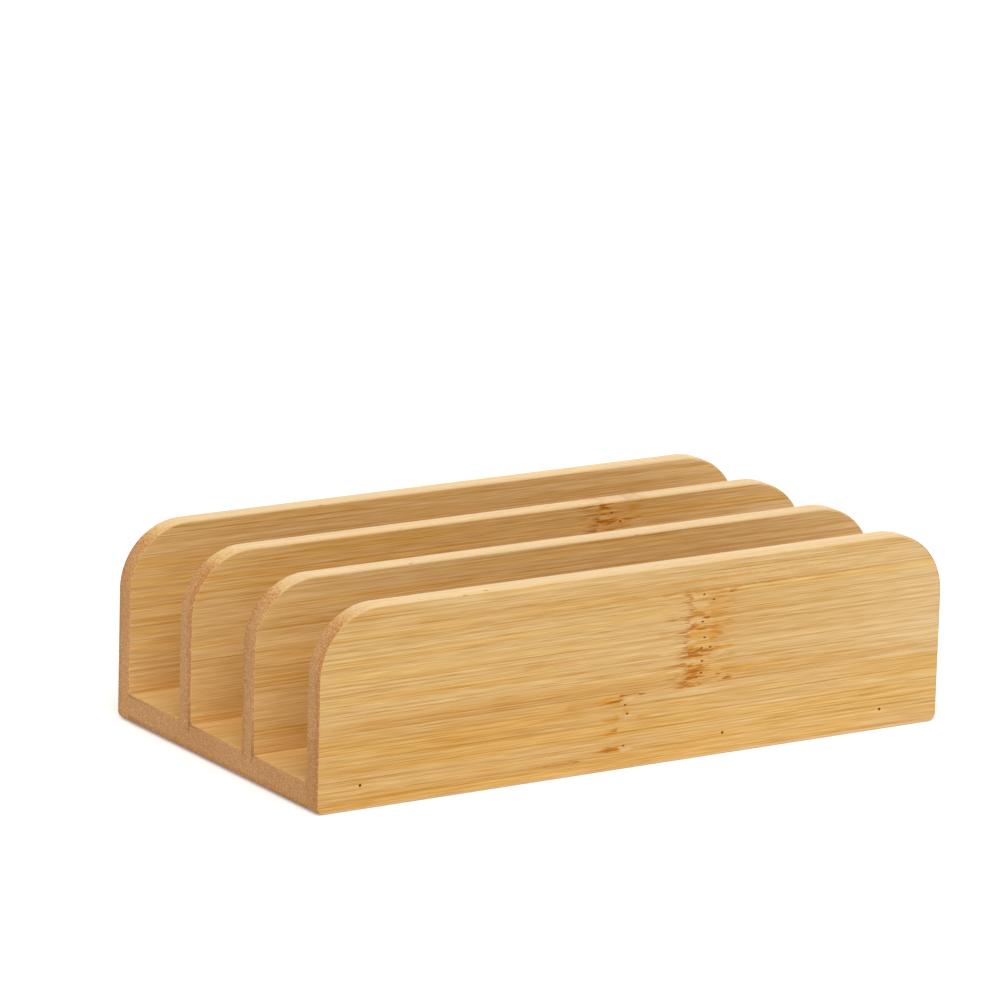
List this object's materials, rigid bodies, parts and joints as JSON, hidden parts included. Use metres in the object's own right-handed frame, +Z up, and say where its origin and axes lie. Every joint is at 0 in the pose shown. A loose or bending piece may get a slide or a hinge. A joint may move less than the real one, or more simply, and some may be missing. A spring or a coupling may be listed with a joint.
{
  "type": "mail sorter",
  "caption": "Low desktop mail sorter of bamboo boards: round-cornered uprights pinned to a flat base, with open slots for letters standing on edge.",
  "frame": {"origin": "on the desk, under the middle of the sorter's footprint", "axes": "+X along the uprights, to the right when seen from the front; +Y to the back; +Z up"},
  "size_m": [0.175, 0.092, 0.048],
  "materials": {
    "bamboo": "laminated bamboo strips, honey coloured, sanded, with a thin satin lacquer",
    "nail_steel": "thin steel pin nails, dulled, set below the surface",
    "wood_filler": "pale matt wood filler, sanded level"
  },
  "bodies": {
    "root": {"base_plate": "bamboo", "front_panel": "bamboo", "front_divider": "bamboo", "rear_divider": "bamboo", "back_panel": "bamboo", "front_panel_nails": "nail_steel", "front_divider_nails": "nail_steel", "rear_divider_nails": "nail_steel", "back_panel_nails": "nail_steel", "nail_hole_filler": "wood_filler"}
  },
  "joints": []
}
